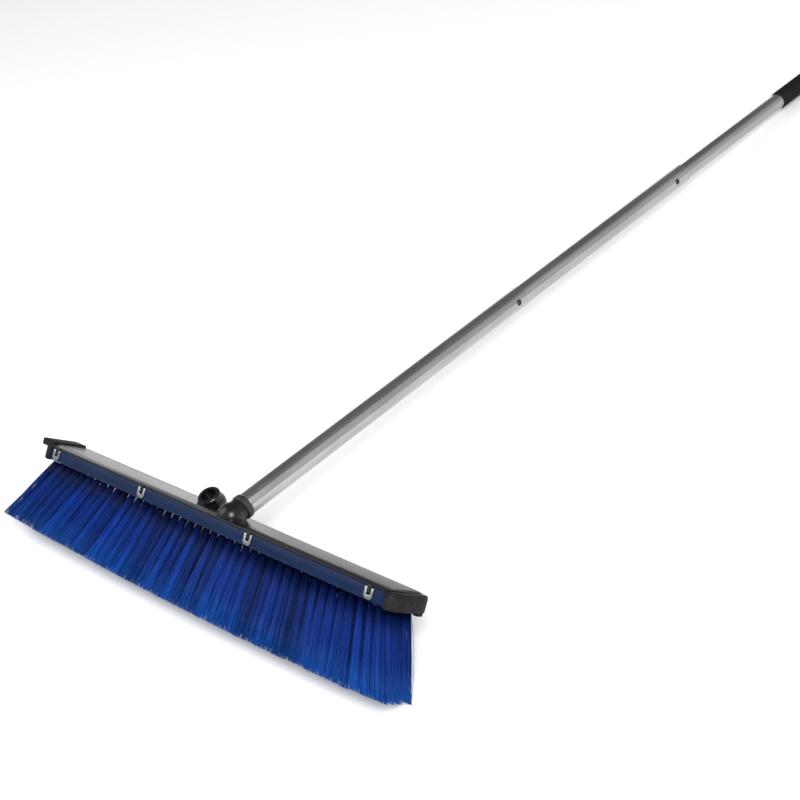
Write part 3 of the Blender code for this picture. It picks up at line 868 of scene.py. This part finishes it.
def light_sky(scene):
    """Even white surroundings with one darker side overhead."""
    world = bpy.data.worlds.new("studio")
    scene.world = world
    graph = Graph(world)
    where = graph.wire(graph.node("ShaderNodeTexCoord"), "Generated")
    inputs = {0: where, 1: Vector(SKY_DARK_SIDE).normalized()}
    product = graph.node("ShaderNodeVectorMath", {"operation": "DOT_PRODUCT"}, inputs)
    settings = {"blending": "EASE", "stops": SKY_STOPS}
    ramp = graph.node("ShaderNodeValToRGB", settings, {"Fac": graph.wire(product, "Value")})
    inputs = {"Color": graph.wire(ramp, "Color"), "Strength": SKY_STRENGTH}
    background = graph.node("ShaderNodeBackground", None, inputs)
    graph.node("ShaderNodeOutputWorld", None, {"Surface": graph.wire(background)})


def add_panel(name, place, aim, size, power):
    """A square soft panel that faces a point."""
    light = bpy.data.lights.new(name, "AREA")
    light.shape = "SQUARE"
    light.size = size
    light.energy = power
    panel = link(name, light)
    facing = (Vector(place) - Vector(aim)).to_track_quat("Z", "Y")
    panel.matrix_world = Matrix.Translation(place) @ facing.to_matrix().to_4x4()


def add_camera(scene, lens):
    """The scene's camera, at its own place and turn."""
    camera = bpy.data.cameras.new("camera")
    camera.lens = lens
    camera.sensor_width = 36.0
    camera.clip_start = 0.05
    camera.clip_end = 100.0
    obj = link("camera", camera)
    right = Vector(CAMERA_RIGHT)
    up = Vector(CAMERA_UP)
    obj.matrix_world = axes_matrix(CAMERA_PLACE, right, up, right.cross(up))
    scene.camera = obj


# Panel and registration -----------------------------------------------------

PIECES = (BROOM_OT_bristles, BROOM_OT_head, BROOM_OT_ribs, BROOM_OT_tubes,
          BROOM_OT_fittings, BROOM_OT_stage)


class BROOM_PT_finish(bpy.types.Panel):
    """Lists the pieces of the broom and their settings"""
    bl_idname = "BROOM_PT_finish"
    bl_label = "Push broom"
    bl_space_type = "VIEW_3D"
    bl_region_type = "UI"
    bl_category = "Broom"

    def draw(self, context):
        layout = self.layout
        for piece in PIECES:
            layout.operator(piece.bl_idname)
        for group in GROUPS:
            settings = getattr(context.scene, group)
            for key in settings.bl_rna.properties.keys():
                if key not in {"rna_type", "name"}:
                    layout.prop(settings, key)


GROUPS = {
    "broom_bristles": BroomBristleSettings,
    "broom_head": BroomHeadSettings,
    "broom_handle": BroomHandleSettings,
    "broom_stage": BroomStageSettings,
}
CLASSES = (*GROUPS.values(), *PIECES, BROOM_PT_finish)


def register():
    for item in CLASSES:
        bpy.utils.register_class(item)
    for name, group in GROUPS.items():
        setattr(bpy.types.Scene, name, PointerProperty(type=group))


def unregister():
    for name in GROUPS:
        delattr(bpy.types.Scene, name)
    for item in reversed(CLASSES):
        bpy.utils.unregister_class(item)


def main():
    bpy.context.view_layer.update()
    register()
    for piece in PIECES:
        family, name = piece.bl_idname.split(".")
        getattr(getattr(bpy.ops, family), name)()


if __name__ == "__main__":
    main()
